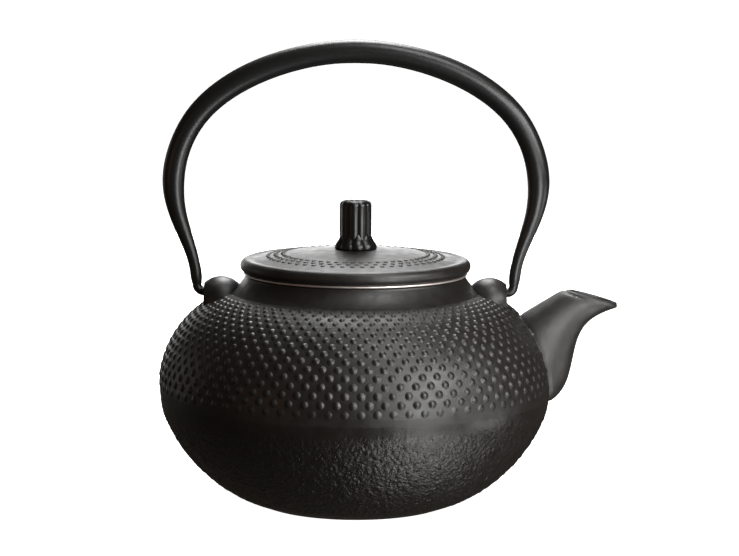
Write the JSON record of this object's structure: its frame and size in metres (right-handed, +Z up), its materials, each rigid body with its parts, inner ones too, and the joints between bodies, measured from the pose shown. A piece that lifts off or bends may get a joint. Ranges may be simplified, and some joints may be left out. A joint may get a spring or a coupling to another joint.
{
  "type": "teapot",
  "caption": "Round black cast-iron teapot with a hobnail shoulder, beak spout, swinging bail handle, domed knobbed lid and a lift-out steel strainer.",
  "frame": {"origin": "centre of the flat base, on the pot's axis", "axes": "+Z up along the pot's axis, +X towards the spout, the upright bail lies in the XZ plane"},
  "size_m": [0.1957, 0.167, 0.1978],
  "materials": {
    "cast_iron_black": "sand-cast iron with a satin black coat",
    "bail_lacquer": "satin black lacquer on steel tube",
    "knob_lacquer": "cast iron with a gloss black coat",
    "fixing_steel": "plain zinc-plated steel",
    "polished_steel": "polished stainless sheet",
    "steel_mesh": "woven stainless mesh"
  },
  "bodies": {
    "pot": {"pot_body": "cast_iron_black", "pot_neck": "cast_iron_black", "pot_spout": "cast_iron_black"},
    "bail": {"bail_handle": "bail_lacquer"},
    "strainer": {"strainer_rim": "polished_steel", "strainer_wall": "steel_mesh", "strainer_band": "polished_steel", "strainer_floor": "steel_mesh"},
    "lid": {"lid": "cast_iron_black", "lid_knob": "knob_lacquer", "knob_screw": "fixing_steel", "knob_washer": "fixing_steel"}
  },
  "joints": [
    {"name": "bail_swing", "type": "hinge", "parent": "pot", "child": "bail", "pos_m": [0, 0, 0.09031], "axis": [1, 0, 0], "range_deg": [-110, 110]},
    {"name": "strainer_lift", "type": "slide", "parent": "pot", "child": "strainer", "axis": [0, 0, 1], "range_m": [0, 0.055]},
    {"name": "lid_lift", "type": "slide", "parent": "strainer", "child": "lid", "axis": [0, 0, 1], "range_m": [0, 0.055]}
  ]
}
